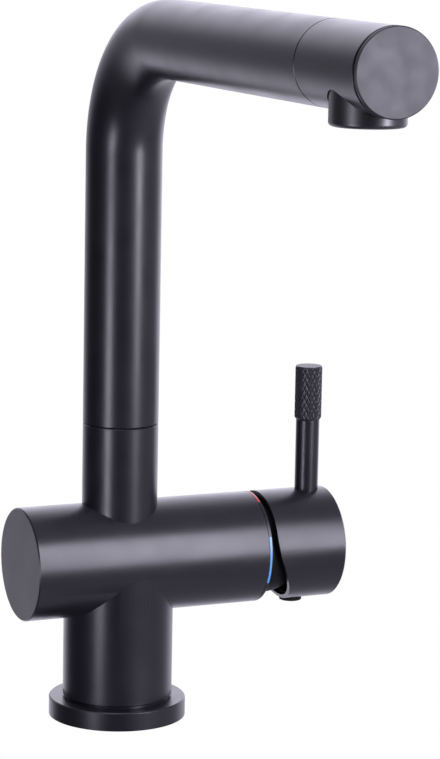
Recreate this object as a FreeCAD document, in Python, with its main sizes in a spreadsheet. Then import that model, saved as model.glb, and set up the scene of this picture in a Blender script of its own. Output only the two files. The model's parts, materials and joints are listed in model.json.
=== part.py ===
import FreeCAD, Part
import Sketcher
import math
import os
import re

# Kitchen tap with a turning spout, a pull-out head and one side lever, in millimetres.
# Origin: centre of the foot, on the worktop. +Z up, the spout's arm along -Y, the lever on the +X side.

doc = FreeCAD.newDocument("kitchen_tap")

# Driving sizes. Heights are above the worktop, reaches are out from the riser's axis.
SIZES = [
    ("tube_radius", 16.3, "outside of riser, arm, stub and head"),
    ("tube_wall", 1.5, "wall of the spout's tube and of the head's shell"),
    ("bend_radius", 50.0, "centre line of the swan bend"),
    ("stub_rise", 34.8, "top of the fixed stub, above the barrel"),
    ("swivel_gap", 0.4, "open seam between stub and spout"),
    ("arm_height", 296.8, "axis of the arm"),
    ("mouth_reach", 198.6, "open end of the arm"),
    ("seam_gap", 0.35, "open seam between arm and head"),
    ("seam_break", 0.25, "chamfer at both lips of a seam"),
    ("shell_length", 46.6, "head's shell"),
    ("end_groove", 0.6, "groove between shell and end disc"),
    ("groove_depth", 1.0, "depth of that groove"),
    ("end_disc", 2.1, "thickness of the end disc"),
    ("nozzle_inset", 18.9, "axis of the nozzle, back from the shell's front end"),
    ("nozzle_shoulder", 2.2, "nozzle narrower than the tube, each side"),
    ("nozzle_drop", 20.4, "outlet below the arm's axis"),
    ("nozzle_clearance", 0.5, "open gap round the nozzle in the shell"),
    ("axis_height", 70.3, "axis of the barrel"),
    ("barrel_wall", 5.2, "barrel round the thread of the cartridge nut"),
    ("barrel_left", 45.6, "closed end of the barrel, left of the riser's axis"),
    ("barrel_right", 61.4, "open end of the barrel, right of the riser's axis"),
    ("index_width", 1.4, "index ring along the barrel"),
    ("mark_width", 0.9, "coloured inlay along the barrel"),
    ("mark_depth", 0.6, "coloured inlay, radially"),
    ("mark_sweep", 51, "angle that an inlay covers"),
    ("cold_angle", 94, "middle of the cold inlay, forward from the top"),
    ("column_step", 0.6, "upright column narrower than the barrel, each side"),
    ("neck_step", 1.05, "depth of the groove at the column's foot"),
    ("foot_step", 2.2, "body's foot narrower than that groove, each side"),
    ("foot_groove", 0.8, "height of the groove at the column's foot"),
    ("foot_recess", 1.0, "body's underside above the worktop"),
    ("ring_step", 6.0, "foot ring wider than the column, each side"),
    ("ring_top", 8.5, "top of the foot ring"),
    ("ring_lift", 0.3, "foot ring clear of the worktop"),
    ("seal_inset", 2.5, "base seal outside the body's foot"),
    ("seal_margin", 1.3, "base seal inside the foot ring's edge"),
    ("seal_height", 1.5, "base seal"),
    ("edge_break", 0.5, "chamfer on visible turned edges"),
    ("fine_break", 0.3, "chamfer on small turned edges"),
    ("fixed_fit", 0.05, "clearance of pieces that stay put"),
    ("running_fit", 0.1, "radial clearance of pieces that turn or slide"),
    ("free_gap", 0.3, "clearance of moving faces that never touch"),
    ("cartridge_radius", 17.5, "standard 35 mm cartridge"),
    ("cartridge_wall", 2.0, "cartridge housing"),
    ("pocket_clearance", 0.3, "cartridge in its pocket"),
    ("nut_wall", 1.7, "thread of the cartridge nut, outside the cartridge"),
    ("nut_thread", 9.0, "length of that thread in the barrel"),
    ("nut_flange", 3.0, "flange that holds the housing down"),
    ("nut_inset", 0.55, "nut's face inside the index ring's"),
    ("neck_wall", 1.9, "cartridge housing round the rotor"),
    ("rotor_step", 2.0, "rotor narrower than the housing's bore, each side"),
    ("rotor_flange", 1.5, "flange that keeps the rotor in"),
    ("base_thickness", 5.7, "cartridge base"),
    ("fixed_disc", 3.5, "fixed ceramic disc"),
    ("moving_disc", 3.0, "moving ceramic disc"),
    ("disc_room", 5.0, "room for the moving disc to slide in the housing"),
    ("mixing_depth", 1.5, "depth of the mixing pocket in the moving disc"),
    ("carrier_thickness", 4.5, "carrier of the moving disc"),
    ("shoulder_wall", 1.5, "shoulder of the cartridge housing"),
    ("port_radius", 2.6, "water holes of the cartridge base"),
    ("port_rise", 3.0, "hot and cold holes of the base, above the cartridge axis"),
    ("outlet_drop", 8.8, "mixed hole of the base, below the cartridge axis"),
    ("port_seal", 1.5, "height of a seal in the cartridge base"),
    ("port_seal_wall", 1.1, "seal in the cartridge base, radially"),
    ("port_margin", 0.5, "hot and cold seals inside the cartridge base's edge"),
    ("inlet_radius", 2.0, "holes of the fixed disc and the channels that lead to them"),
    ("channel_depth", 2.5, "those channels, in the front of the cartridge base"),
    ("lever_tilt", 20.0, "angle from shut to full flow"),
    ("pivot_step", 4.55, "where the stem tilts, beyond the cartridge nut"),
    ("stem_width", 8.0, "square stem"),
    ("ball_radius", 2.4, "ball on the stem's tail"),
    ("tail_radius", 1.6, "tail of the stem"),
    ("pin_radius", 1.5, "pin that the stem tilts on"),
    ("dome_clearance", 2.0, "dome inside the handle cap"),
    ("dome_wall", 1.2, "dome"),
    ("dome_front", 9.7, "front of the dome, beyond the pivot"),
    ("dome_hole", 14.5, "opening for the handle's boss"),
    ("rim_back", 1.2, "upper rim of the handle cap, left of the pivot"),
    ("rim_front", 8.4, "lower rim of the handle cap, right of the pivot"),
    ("rim_high", 2.2, "upper corner of the rim's slope, above the axis"),
    ("rim_low", 19.6, "lower corner of the rim's slope, below the axis"),
    ("rim_round", 30.0, "arcs that ease both corners"),
    ("cap_length", 31.5, "flat end of the handle cap, right of the pivot"),
    ("cap_wall", 1.6, "wall of the handle cap"),
    ("cap_floor", 3.0, "end wall of the handle cap"),
    ("boss_radius", 9.5, "boss that takes the stem"),
    ("boss_wall", 1.0, "boss left of the set screw"),
    ("stem_length", 25.2, "end of the stem, right of the pivot"),
    ("rod_inset", 8.7, "lever rod, in from the cap's flat end"),
    ("rod_radius", 5.2, "lever rod"),
    ("rod_seat", 14.0, "shoulder of the rod, above the barrel axis"),
    ("rod_floor", 1.5, "lower end of the rod above the stem"),
    ("rod_thread", 4.0, "thread radius at both ends of the rod"),
    ("rod_wall", 2.2, "boss round the rod"),
    ("rod_length", 41.5, "rod between its shoulder and the grip"),
    ("grip_radius", 6.0, "knurled grip"),
    ("grip_length", 24.1, "knurled grip"),
    ("grip_floor", 4.0, "grip above the rod's end"),
    ("grip_break", 0.8, "chamfer at the grip's lower end"),
    ("plug_inset", 7.8, "set screw and its plug, right of the lower rim"),
    ("screw_radius", 2.5, "M5 set screw"),
    ("screw_length", 5.0, "set screw"),
    ("screw_key", 2.5, "hex socket of the set screw, across flats"),
    ("screw_socket", 2.2, "depth of that socket"),
    ("plug_radius", 5.0, "plug over the set screw"),
    ("plug_proud", 1.5, "plug below the cap"),
    ("plug_length", 4.8, "plug"),
    ("hose_radius", 5.5, "pull-out hose"),
    ("hose_bore", 4.0, "bore of the hose, radius"),
    ("grommet_wall", 1.3, "grommet round the hose"),
    ("grommet_height", 6.0, "grommet at the underside"),
    ("hose_straight", 10.0, "rear run of the hose, beyond the bend"),
    ("spigot_radius", 12.0, "spigot that the spout turns on"),
    ("spigot_bore", 9.0, "bore for the hose, radius"),
    ("spigot_foot", 15.0, "spigot's thread in the body"),
    ("spigot_flange", 3.0, "flange on the stub's shoulder"),
    ("spigot_rise", 36.0, "spigot above the swivel seam"),
    ("bush_length", 36.0, "bush in the spout's foot"),
    ("ring_section", 2.4, "O-rings, width of groove"),
    ("ring_depth", 1.6, "O-rings, depth of groove"),
    ("first_seal", 11.0, "lower spigot seal above the seam"),
    ("seal_pitch", 9.0, "between the spigot seals"),
    ("keep_screw", 2.0, "M4 screw that keeps the spout on, radius"),
    ("keep_rise", 28.0, "that screw above the seam"),
    ("liner_wall", 1.35, "liner in the arm's mouth"),
    ("liner_length", 30.0, "liner in the arm's mouth"),
    ("collar_length", 24.0, "docking collar behind the head"),
    ("collar_bore", 9.0, "docking collar, inside radius"),
    ("coupling_wall", 9.0, "solid end of the hose coupling"),
    ("coupling_length", 27.0, "hose coupling"),
    ("valve_inset", 1.0, "check valve inside the core"),
    ("valve_bore", 2.0, "check valve, inside radius"),
    ("core_inset", 1.8, "head core inside the shell"),
    ("core_wall", 1.0, "head core round the nozzle"),
    ("core_way", 5.0, "waterway in the head core, radius"),
    ("nozzle_seat", 2.8, "top of the nozzle below the arm's axis"),
    ("nozzle_round", 1.6, "rounded edge of the nozzle"),
    ("nozzle_wall", 2.4, "nozzle round the aerator"),
    ("aerator_depth", 1.2, "aerator inside the nozzle's edge"),
    ("aerator_length", 9.0, "aerator insert"),
    ("mesh_thickness", 0.8, "outlet mesh"),
    ("mesh_pitch", 4.0, "holes of the outlet mesh, centre to centre"),
    ("mesh_hole", 1.3, "holes of the outlet mesh, radius"),
    ("insert_bore", 3.0, "bore of the aerator insert, radius"),
    ("washer_height", 1.6, "aerator seal"),
    ("port_circle", 12.5, "mixed port and stud, either side of the hose passage"),
    ("port_forward", 6.2, "hot and cold ports, right of the riser's axis"),
    ("port_thread", 4.5, "tapping radius of the M10 ports"),
    ("port_depth", 12.0, "depth of the hot and cold ports"),
    ("mixed_depth", 10.0, "depth of the mixed port"),
    ("drill_radius", 2.6, "drilled waterways"),
    ("stud_radius", 4.0, "M8 fixing stud"),
    ("stud_depth", 13.0, "stud in the body"),
    ("stud_drop", 75.0, "stud below the worktop's top"),
    ("worktop", 40.0, "thickness that the clamp is drawn at"),
    ("clamp_radius", 27.0, "horseshoe plate and rubber"),
    ("clamp_plate", 3.0, "horseshoe plate"),
    ("clamp_rubber", 3.0, "horseshoe rubber"),
    ("clamp_slot", 16.5, "half the slot's width"),
    ("clamp_back", 3.0, "slot past the axis, towards the stud"),
    ("nut_flats", 13.0, "fixing nut across flats"),
    ("nut_height", 6.5, "fixing nut"),
]

# Places worked out from the sizes, in the same words as the sheet's.
PLACES = {
    "nut_radius": "cartridge_radius + nut_wall",
    "barrel_radius": "nut_radius + barrel_wall",
    "barrel_top": "axis_height + barrel_radius",
    "column_radius": "barrel_radius - column_step",
    "neck_radius": "column_radius - neck_step",
    "foot_radius": "neck_radius - foot_step",
    "column_start": "ring_top + foot_groove",
    "ring_radius": "column_radius + ring_step",
    "seal_inner": "foot_radius + seal_inset",
    "seal_outer": "ring_radius - seal_margin",
    "swivel_height": "barrel_top + stub_rise",
    "stub_low": "axis_height + barrel_radius / 2",
    "tube_bore": "tube_radius - tube_wall",
    "spout_start": "swivel_height + swivel_gap",
    "bend_start": "arm_height - bend_radius",
    "index_end": "barrel_right + index_width",
    "index_bore": "dome_radius",
    "nut_end": "index_end - nut_inset",
    "nut_start": "barrel_right - nut_thread + free_gap",
    "thread_bore": "nut_radius - fixed_fit",
    "skirt_bore": "cartridge_radius + pocket_clearance",
    "housing_bore": "cartridge_radius - cartridge_wall",
    "shoulder_out": "nut_end - nut_flange",
    "shoulder_in": "shoulder_out - shoulder_wall",
    "rotor_neck": "shoulder_in - running_fit",
    "rotor_start": "rotor_neck - rotor_flange",
    "rotor_radius": "housing_bore - rotor_step",
    "rotor_bore": "rotor_radius + running_fit",
    "neck_outer": "rotor_bore + neck_wall",
    "neck_clear": "neck_outer + running_fit",
    "neck_end": "pivot_reach + 2 * pin_radius",
    "rotor_end": "neck_end + fine_break",
    "carrier_top": "rotor_start - free_gap",
    "moving_top": "carrier_top - carrier_thickness",
    "moving_start": "moving_top - moving_disc",
    "moving_radius": "housing_bore - disc_room",
    "inlet_circle": "moving_radius - inlet_radius - free_gap",
    "mixing_radius": "inlet_circle - inlet_radius - free_gap",
    "fixed_top": "moving_start - fixed_fit",
    "base_top": "fixed_top - fixed_disc",
    "housing_start": "base_top - base_thickness",
    "pocket_floor": "housing_start - pocket_clearance",
    "base_radius": "housing_bore - fixed_fit",
    "seal_slot": "port_radius + port_seal_wall",
    "port_reach": "base_radius - seal_slot - port_margin",
    "port_side": "sqrt(port_reach ^ 2 - port_rise ^ 2)",
    "pivot_reach": "nut_end + pivot_step",
    "stem_half": "stem_width / 2",
    "socket_half": "stem_half + fixed_fit",
    "ball_place": "moving_top + ball_radius + free_gap",
    "stem_tail": "pivot_reach - ball_place",
    "slot_half": "stem_tail * sin(lever_tilt) + ball_radius + free_gap",
    "cap_bore": "barrel_radius - cap_wall",
    "cap_start": "pivot_reach - rim_back",
    "cap_low": "pivot_reach + rim_front",
    "cap_end": "pivot_reach + cap_length",
    "cap_inside": "cap_end - cap_floor",
    "cap_underside": "axis_height - barrel_radius",
    "screw_reach": "cap_low + plug_inset",
    "boss_start": "screw_reach - screw_radius - boss_wall",
    "stem_end": "pivot_reach + stem_length",
    "dome_radius": "cap_bore - dome_clearance",
    "dome_back": "nut_end - pivot_reach",
    "dome_end": "pivot_reach + dome_front",
    "dome_inner": "dome_radius - dome_wall",
    "dome_foot": "nut_end + dome_wall",
    "dome_lid": "dome_end - dome_wall",
    "dome_back_radius": "sqrt(dome_radius ^ 2 - dome_back ^ 2)",
    "dome_front_radius": "sqrt(dome_radius ^ 2 - dome_front ^ 2)",
    "dome_foot_radius": "sqrt(dome_inner ^ 2 - (dome_foot - pivot_reach) ^ 2)",
    "dome_lid_radius": "sqrt(dome_inner ^ 2 - (dome_lid - pivot_reach) ^ 2)",
    "slope_angle": "atan((cap_low - cap_start) / (rim_high + rim_low))",
    "slope_ease": "rim_round * tan(slope_angle / 2)",
    "ease_across": "slope_ease * sin(slope_angle)",
    "ease_up": "slope_ease * cos(slope_angle)",
    "rod_reach": "cap_end - rod_inset",
    "rod_boss": "rod_radius + rod_wall",
    "rod_shoulder": "axis_height + rod_seat",
    "rod_low": "axis_height + stem_half + rod_floor",
    "grip_start": "rod_shoulder + rod_length",
    "grip_top": "grip_start + grip_length",
    "grip_inside": "grip_top - grip_floor",
    "grip_bore": "rod_thread + fixed_fit",
    "screw_top": "axis_height - stem_half",
    "screw_low": "screw_top - screw_length",
    "plug_low": "cap_underside - plug_proud",
    "passage_radius": "hose_radius + running_fit + grommet_wall",
    "spigot_low": "barrel_top - spigot_foot",
    "spigot_end": "swivel_height + spigot_rise",
    "sleeve_bore": "spigot_radius + running_fit",
    "flange_top": "swivel_height - spigot_flange - fixed_fit",
    "flange_low": "flange_top - spigot_flange",
    "flange_radius": "tube_bore - fixed_fit",
    "sunk_radius": "spigot_radius - ring_depth",
    "lower_seal": "swivel_height + first_seal",
    "lower_seal_end": "lower_seal + ring_section",
    "upper_seal": "lower_seal + seal_pitch",
    "upper_seal_end": "upper_seal + ring_section",
    "keep_height": "swivel_height + keep_rise",
    "keep_low": "keep_height - keep_screw - free_gap",
    "keep_high": "keep_height + keep_screw + free_gap",
    "keep_length": "tube_radius - 2 * free_gap - sunk_radius - running_fit",
    "bush_bore": "spigot_radius + running_fit",
    "bush_start": "spout_start + running_fit",
    "shell_start": "mouth_reach + seam_gap",
    "shell_end": "shell_start + shell_length",
    "disc_start": "shell_end + end_groove",
    "disc_end": "disc_start + end_disc",
    "neck_of_disc": "tube_radius - groove_depth",
    "nozzle_reach": "shell_end - nozzle_inset",
    "nozzle_radius": "tube_radius - nozzle_shoulder",
    "nozzle_height": "arm_height - nozzle_drop",
    "nozzle_top": "arm_height - nozzle_seat",
    "liner_bore": "tube_bore - fixed_fit - liner_wall",
    "collar_outer": "liner_bore - running_fit - running_fit",
    "core_start": "shell_start + core_inset",
    "core_end": "nozzle_reach + nozzle_radius + fixed_fit + core_wall",
    "valve_start": "core_start + valve_inset",
    "valve_end": "nozzle_reach - nozzle_radius - core_wall",
    "collar_start": "core_start - collar_length",
    "hose_split": "bend_radius + hose_straight",
    "hose_start": "hose_split + 2 * running_fit",
    "hose_end": "core_start - coupling_wall",
    "grip_of_hose": "hose_radius + fixed_fit",
    "groove_start": "core_start - collar_length / 2",
    "groove_end": "groove_start - ring_section",
    "groove_radius": "collar_outer - ring_depth",
    "plug_inside": "core_end + running_fit",
    "aerator_radius": "nozzle_radius - nozzle_wall",
    "mesh_radius": "aerator_radius - fixed_fit",
    "mesh_bottom": "nozzle_height + aerator_depth",
    "insert_bottom": "mesh_bottom + mesh_thickness",
    "insert_top": "insert_bottom + aerator_length",
    "washer_top": "insert_top + washer_height",
    "stud_top": "foot_recess + stud_depth",
    "stud_hole": "stud_radius + fixed_fit",
    "rubber_low": "-worktop - clamp_rubber",
    "plate_low": "rubber_low - clamp_plate",
    "nut_low": "plate_low - nut_height",
}

sheet = doc.addObject("Spreadsheet::Sheet", "sizes")
for row, (alias, value, note) in enumerate(SIZES, start=1):
    sheet.set("A%d" % row, note)
    sheet.set("B%d" % row, str(value))
    sheet.setAlias("B%d" % row, alias)
doc.recompute()
ALIASES = {alias for alias, value, note in SIZES}


def formula(text):
    """Spell an expression out in the sheet's cells."""
    def spell(match):
        word = match.group(0)
        if word in PLACES:
            return "(" + formula(PLACES[word]) + ")"
        return "sizes." + word if word in ALIASES else word
    return re.sub(r"[a-z_]+(?![a-z_(])", spell, str(text))


def number(text):
    """The present value of an expression."""
    return float(sheet.evalExpression(formula(text).replace("sizes.", "")))


def bind(item, prop, text):
    item.setExpression(prop, formula(text))


def place(item, at):
    for letter, text in zip("xyz", at):
        if str(text) != "0":
            bind(item, "Placement.Base." + letter, text)


# Turns that lay a part's own Z along the named axis.
TURNS = {
    "Z": FreeCAD.Rotation(),
    "X": FreeCAD.Rotation(FreeCAD.Vector(0, 1, 0), 90),
    "-Y": FreeCAD.Rotation(FreeCAD.Vector(1, 0, 0), 90),
}
ON_BARREL = ("0", "0", "axis_height")
ON_ARM = ("0", "0", "arm_height")
ON_AXIS = ("0", "0", "0")
AT_NOZZLE = ("0", "-nozzle_reach", "0")
AT_ROD = ("rod_reach", "0", "0")
AT_SCREW = ("screw_reach", "0", "0")
AT_STUD = ("-port_circle", "0", "0")


def cylinder(name, radius, height, at=ON_AXIS, along="Z"):
    item = doc.addObject("Part::Cylinder", name)
    item.Placement.Rotation = TURNS[along]
    bind(item, "Radius", radius)
    bind(item, "Height", height)
    place(item, at)
    return item


def box(name, size, at):
    item = doc.addObject("Part::Box", name)
    for prop, text in zip(("Length", "Width", "Height"), size):
        bind(item, prop, text)
    place(item, at)
    return item


def join(label, items):
    item = doc.addObject("Part::MultiFuse", label)
    item.Shapes = items
    item.Label = label
    return item


def cut(label, base, tools):
    item = doc.addObject("Part::Cut", label)
    item.Base = base
    item.Tool = tools[0] if len(tools) == 1 else join(label + "_tools", tools)
    item.Label = label
    return item


def group(label, items):
    item = doc.addObject("Part::Compound", label)
    item.Links = items
    item.Label = label
    return item


def origin_plane(body, role):
    return next(f for f in body.Origin.OriginFeatures if f.Role == role)


def outline(sketch, corners):
    """Close a loop through the corners, each held at its place.

    A corner with four words starts an arc: its radius, then 1 where it turns left or -1 where
    it turns right.
    """
    spots = [FreeCAD.Vector(number(corner[0]), number(corner[1]), 0) for corner in corners]
    ends = []
    for index, corner in enumerate(corners):
        start, end = spots[index], spots[(index + 1) % len(corners)]
        ends.append((1, 2))
        if len(corner) == 2:
            sketch.addGeometry(Part.LineSegment(start, end), False)
            continue
        radius, turn = number(corner[2]), corner[3]
        chord = end - start
        left = FreeCAD.Vector(-chord.y, chord.x, 0).normalize() * turn
        centre = (start + end) * 0.5 + left * math.sqrt(radius ** 2 - (chord.Length / 2) ** 2)
        circle = Part.Circle(centre, FreeCAD.Vector(0, 0, 1), radius)
        angles = [math.atan2(spot.y - centre.y, spot.x - centre.x) for spot in (start, end)]
        if turn < 0:
            angles.reverse()
            ends[-1] = (2, 1)
        sketch.addGeometry(Part.ArcOfCircle(circle, *angles), False)
    for index, (first, last) in enumerate(ends):
        after = (index + 1) % len(corners)
        sketch.addConstraint(Sketcher.Constraint("Coincident", index, last, after, ends[after][0]))
    for index, corner in enumerate(corners):
        for kind, text in zip(("DistanceX", "DistanceY"), corner):
            point = ends[index][0]
            link = sketch.addConstraint(Sketcher.Constraint(kind, -1, 1, index, point, number(text)))
            bind(sketch, "Constraints[%d]" % link, text)
        if len(corner) > 2:
            link = sketch.addConstraint(Sketcher.Constraint("Radius", index, number(corner[2])))
            bind(sketch, "Constraints[%d]" % link, corner[2])


def sketch_on(body, role, name, corners):
    sketch = body.newObject("Sketcher::SketchObject", name)
    sketch.AttachmentSupport = [(origin_plane(body, role), "")]
    sketch.MapMode = "FlatFace"
    outline(sketch, corners)
    return sketch


# For pieces turned about each axis: the plane of the half section, and the line in it that is the axis.
LATHES = {"Z": ("XZ_Plane", "V_Axis"), "X": ("XZ_Plane", "H_Axis"), "Y": ("YZ_Plane", "H_Axis")}


def turned(label, along, corners, at=ON_AXIS):
    """A piece turned from its half section. Corners are (radius, height) about Z, else (place, radius)."""
    body = doc.addObject("PartDesign::Body", label)
    body.Label = label
    plane, axis = LATHES[along]
    sketch = sketch_on(body, plane, label + "_section", corners)
    turn = body.newObject("PartDesign::Revolution", label + "_turned")
    turn.Profile = sketch
    turn.ReferenceAxis = (sketch, [axis])
    turn.Angle = 360
    body.Tip = turn
    place(body, at)
    return body


def ring(label, along, inner, outer, start, end, at=ON_AXIS):
    if along == "Z":
        corners = [(inner, start), (outer, start), (outer, end), (inner, end)]
    else:
        corners = [(start, inner), (start, outer), (end, outer), (end, inner)]
    return turned(label, along, corners, at)


def circles(body, name, role, lift, centre, radii):
    """A sketch of circles about one centre, lifted off an origin plane. Returns the sketch."""
    sketch = body.newObject("Sketcher::SketchObject", name)
    sketch.AttachmentSupport = [(origin_plane(body, role), "")]
    sketch.MapMode = "FlatFace"
    bind(sketch, "AttachmentOffset.Base.z", lift)
    spot = FreeCAD.Vector(0, number(centre), 0)
    for index, radius in enumerate(radii):
        sketch.addGeometry(Part.Circle(spot, FreeCAD.Vector(0, 0, 1), number(radius)), False)
        held = [("DistanceX", "0"), ("DistanceY", centre)]
        for kind, text in held:
            link = sketch.addConstraint(Sketcher.Constraint(kind, -1, 1, index, 3, number(text)))
            bind(sketch, "Constraints[%d]" % link, text)
        link = sketch.addConstraint(Sketcher.Constraint("Radius", index, number(radius)))
        bind(sketch, "Constraints[%d]" % link, radius)
    return sketch


def bent_tube(label, outer, inner, low, far):
    """A tube that rises from low, bends over the swan's radius and runs out to far along -Y."""
    body = doc.addObject("PartDesign::Body", label)
    body.Label = label
    radii = (outer, inner)
    riser = body.newObject("PartDesign::Pad", label + "_riser")
    riser.Profile = circles(body, label + "_riser_section", "XY_Plane", low, "0", radii)
    bind(riser, "Length", "bend_start - (%s)" % low)
    section = circles(body, label + "_bend_section", "XY_Plane", "bend_start", "0", radii)
    reach = number("bend_radius")
    ends = [FreeCAD.Vector(x, -reach, 0) for x in (-reach, reach)]
    axis = section.addGeometry(Part.LineSegment(*ends), True)
    section.addConstraint(Sketcher.Constraint("Horizontal", axis))
    held = [
        ("DistanceX", 1, "-bend_radius"),
        ("DistanceX", 2, "bend_radius"),
        ("DistanceY", 1, "-bend_radius"),
    ]
    for kind, point, text in held:
        link = section.addConstraint(Sketcher.Constraint(kind, -1, 1, axis, point, number(text)))
        bind(section, "Constraints[%d]" % link, text)
    bend = body.newObject("PartDesign::Revolution", label + "_bend")
    bend.Profile = section
    bend.ReferenceAxis = (section, ["Axis0"])
    bend.Angle = 90
    arm = body.newObject("PartDesign::Pad", label + "_arm")
    arm.Profile = circles(body, label + "_arm_section", "XZ_Plane", "bend_radius", "arm_height", radii)
    bind(arm, "Length", "%s - bend_radius" % far)
    body.Tip = arm
    return body


SAME = 1e-4


def break_rims(body, size, spots):
    """Chamfer the outer rims of a tube whose circles are centred on the given spots."""
    doc.recompute()
    base = body.Tip
    radius = number("tube_radius")
    names = []
    for spot in spots:
        centre = FreeCAD.Vector(*[number(text) for text in spot])
        for index, edge in enumerate(base.Shape.Edges, start=1):
            curve = edge.Curve
            if curve.TypeId != "Part::GeomCircle":
                continue
            if (curve.Center - centre).Length < SAME and abs(curve.Radius - radius) < SAME:
                names.append("Edge%d" % index)
    chamfer = body.newObject("PartDesign::Chamfer", body.Name + "_rims")
    chamfer.Base = (base, names)
    bind(chamfer, "Size", size)
    body.Tip = chamfer


# Foot: the ring stands on a flat seal, and the body's foot sits in the ring.
base_seal = ring("base_seal", "Z", "seal_inner", "seal_outer", "0", "seal_height")
base_ring = turned("base_ring", "Z", [
    ("foot_radius + fixed_fit", "ring_lift"),
    ("seal_inner - fixed_fit", "ring_lift"),
    ("seal_inner - fixed_fit", "seal_height"),
    ("seal_outer + fixed_fit", "seal_height"),
    ("seal_outer + fixed_fit", "ring_lift"),
    ("ring_radius", "ring_lift"),
    ("ring_radius", "ring_top - edge_break"),
    ("ring_radius - edge_break", "ring_top"),
    ("foot_radius + fixed_fit", "ring_top"),
])

# Body: an upright column under a level barrel, drilled for the hose, the water and the cartridge.
column = turned("column", "Z", [
    ("0", "foot_recess"),
    ("foot_radius", "foot_recess"),
    ("foot_radius", "ring_top"),
    ("neck_radius", "ring_top"),
    ("neck_radius", "column_start"),
    ("column_radius - edge_break", "column_start"),
    ("column_radius", "column_start + edge_break"),
    ("column_radius", "axis_height"),
    ("0", "axis_height"),
])
barrel = turned("barrel", "X", [
    ("-barrel_left", "0"),
    ("-barrel_left", "barrel_radius - edge_break"),
    ("edge_break - barrel_left", "barrel_radius"),
    ("barrel_right - seam_break", "barrel_radius"),
    ("barrel_right", "barrel_radius - seam_break"),
    ("barrel_right", "0"),
], ON_BARREL)
cartridge_pocket = turned("cartridge_pocket", "X", [
    ("pocket_floor", "0"),
    ("pocket_floor", "skirt_bore"),
    ("barrel_right - nut_thread", "skirt_bore"),
    ("barrel_right - nut_thread", "nut_radius"),
    ("index_end", "nut_radius"),
    ("index_end", "0"),
], ON_BARREL)


def waterway(name, depth, across, side, height):
    """A tapped port in the underside, drilled up to a level bore that ends in the cartridge pocket."""
    foot = (across, side, "foot_recess")
    port = cylinder(name + "_port", "port_thread", depth, foot)
    rise = cylinder(name + "_rise", "drill_radius", "%s - foot_recess" % height, foot)
    run = cylinder(name + "_run", "drill_radius", "pocket_floor - %s" % across, (across, side, height), "X")
    return [port, rise, run]


drillings = waterway("hot", "port_depth", "port_forward", "port_side", "(axis_height + port_rise)")
drillings += waterway("cold", "port_depth", "port_forward", "-port_side", "(axis_height + port_rise)")
drillings += waterway("mixed", "mixed_depth", "port_circle", "0", "(axis_height - outlet_drop)")
drillings += [
    cartridge_pocket,
    cylinder("hose_way", "passage_radius", "barrel_top"),
    cylinder("spigot_way", "spigot_radius", "2 * spigot_foot", ("0", "0", "spigot_low")),
    cylinder("stud_tapping", "stud_hole", "stud_depth", ("-port_circle", "0", "foot_recess")),
]
mixer_body = cut("mixer_body", join("forging", [column, barrel]), drillings)
hose_grommet = ring("hose_grommet", "Z", "hose_radius + running_fit", "passage_radius",
                    "foot_recess", "foot_recess + grommet_height")

# Index ring with two coloured inlays: hot at the top, cold in front.
SECTOR_TURN = FreeCAD.Rotation(FreeCAD.Vector(1, 0, 1), 180)


def mark(label, middle):
    """An inlay round the barrel's axis. Its angles run from the top, forward."""
    start = number("%s - mark_sweep / 2" % middle)
    foot = ("barrel_right", "0", "axis_height")
    sector = cylinder(label + "_sector", "barrel_radius", "mark_width", foot)
    sector.Placement.Rotation = FreeCAD.Rotation(FreeCAD.Vector(1, 0, 0), start) * SECTOR_TURN
    bind(sector, "Angle", "mark_sweep")
    core = cylinder(label + "_core", "barrel_radius - mark_depth", "index_width", foot, "X")
    return cut(label, sector, [core])


hot_mark = mark("hot_mark", "0")
cold_mark = mark("cold_mark", "cold_angle")
index_blank = turned("index_blank", "X", [
    ("barrel_right", "index_bore"),
    ("barrel_right", "barrel_radius"),
    ("index_end - fine_break", "barrel_radius"),
    ("index_end", "barrel_radius - fine_break"),
    ("index_end", "index_bore"),
], ON_BARREL)
index_ring = cut("index_ring", index_blank, [hot_mark, cold_mark])

# Fixed half of the cartridge, from the pocket's floor outwards.
# Each water hole has its side and its rise from the cartridge axis. The base's holes lie over the drilled
# waterways. The fixed disc has hot above and cold in front, so that the tilted lever uncovers hot when it
# is upright and cold when it is forward.
BASE_HOLES = {
    "hot": ("port_side", "port_rise"),
    "cold": ("-port_side", "port_rise"),
    "mixed": ("0", "-outlet_drop"),
}
DISC_HOLES = {"hot": ("0", "inlet_circle"), "cold": ("-inlet_circle", "0"), "mixed": ("0", "0")}


def water_holes(name, holes, radius, start, length):
    return [cylinder("%s_%s" % (name, which), radius, length, (start, side, "axis_height + %s" % rise), "X")
            for which, (side, rise) in holes.items()]


def channel_run(which):
    """The straight part of a channel in the base's front, from the base's hole to the fixed disc's."""
    holes = (BASE_HOLES[which], DISC_HOLES[which])
    start, end = [FreeCAD.Vector(0, number(side), number(rise)) for side, rise in holes]
    turn = FreeCAD.Rotation(FreeCAD.Vector(0, 1, 0), end - start)
    length = "%.6f" % (end - start).Length
    run = box(which + "_channel", ("channel_depth", length, "2 * inlet_radius"), ON_AXIS)
    middle = FreeCAD.Vector(number("base_top - channel_depth"), 0, number("axis_height")) + start
    half = turn.multVec(FreeCAD.Vector(0, 0, number("inlet_radius")))
    run.Placement = FreeCAD.Placement(middle - half, turn)
    return run


def disc(label, radius, start, end):
    return turned(label, "X", [(start, "0"), (start, radius), (end, radius), (end, "0")], ON_BARREL)


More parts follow.
